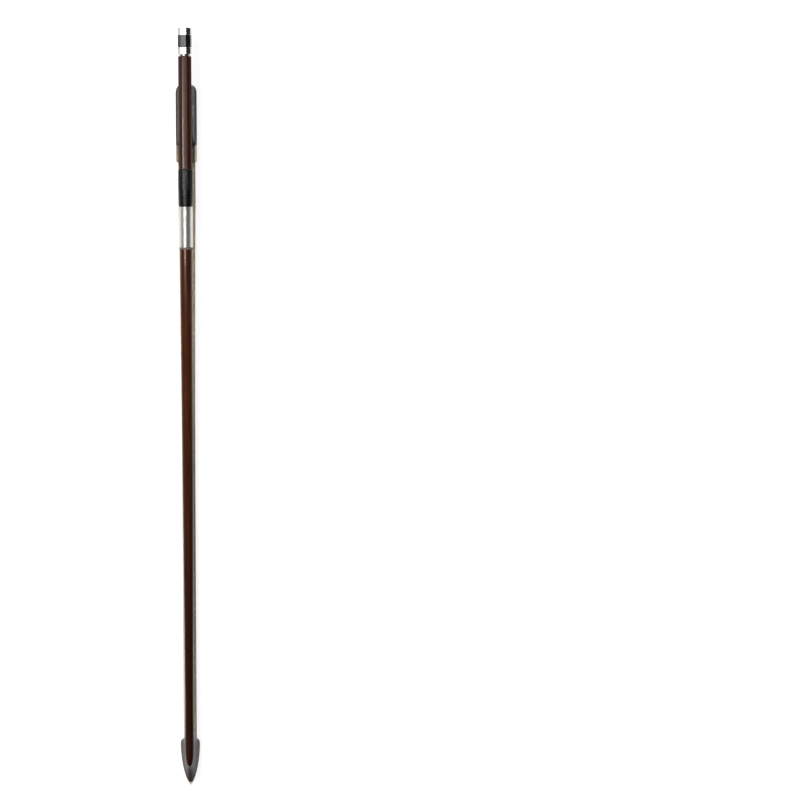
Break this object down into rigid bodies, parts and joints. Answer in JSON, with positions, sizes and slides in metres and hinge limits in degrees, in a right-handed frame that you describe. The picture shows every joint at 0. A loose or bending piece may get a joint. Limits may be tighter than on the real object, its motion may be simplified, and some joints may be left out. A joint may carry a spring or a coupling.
{
  "type": "double bass bow",
  "caption": "French-style double bass bow: round wooden stick with octagonal handle, ebony frog moved by a turning end button, leather grip, wire winding and flat hair ribbon.",
  "frame": {"origin": "middle of the overall length and width, on the plane of the frog's underside and the face plate's tip", "axes": "+X along the bow from the button to the head, +Z from the hair to the stick, +Y to the left seen from the button"},
  "size_m": [0.715, 0.0198, 0.0391],
  "materials": {
    "stick_wood": "dark red-brown varnished wood",
    "ebony": "polished ebony",
    "nickel_silver": "polished nickel silver, slightly aged",
    "polished_silver": "bright polished nickel silver",
    "silver_wire": "bright drawn silver-plated wire",
    "steel": "turned steel",
    "brass": "plain brass",
    "pearl": "mother-of-pearl, polished",
    "bone": "cream bone, satin",
    "black_liner": "black fibre",
    "pale_wood": "raw lime wood",
    "thread": "dark waxed thread",
    "grip_leather": "black pebbled leather",
    "horsehair": "cream horsehair"
  },
  "bodies": {
    "stick": {"stick": "stick_wood", "head_liner": "black_liner", "face_plate": "bone", "head_plug": "pale_wood", "hair_knot_head": "thread", "grip_leather": "grip_leather", "winding": "silver_wire", "winding_end_band": "thread", "hair": "horsehair"},
    "screw": {"screw": "steel", "button_core": "ebony", "button_rear_ring": "polished_silver", "button_front_ring": "polished_silver", "button_pearl": "pearl"},
    "frog": {"frog": "ebony", "ferrule": "nickel_silver", "spread_wedge": "pale_wood", "slide": "ebony", "slide_pearl": "pearl", "eye_ring_left": "nickel_silver", "eye_ring_right": "nickel_silver", "eye_pearl_left": "pearl", "eye_pearl_right": "pearl", "groove_liner": "nickel_silver", "liner_pin_front": "brass", "liner_pin_rear": "brass", "eyelet": "brass", "frog_plug": "pale_wood", "hair_knot_frog": "thread"}
  },
  "joints": [
    {"name": "screw_turn", "type": "hinge", "parent": "stick", "child": "screw", "pos_m": [-0.3305, 0, 0.03225], "axis": [1, 0, 0], "range_deg": [-1080, 1800]},
    {"name": "frog_slide", "type": "slide", "parent": "stick", "child": "frog", "axis": [1, 0, 0], "range_m": [-0.0035, 0.0021], "deforming": ["hair"]}
  ],
  "couplings": [
    {"joint": "frog_slide", "follows": "screw_turn", "m_per_rad": -0.00011141}
  ]
}
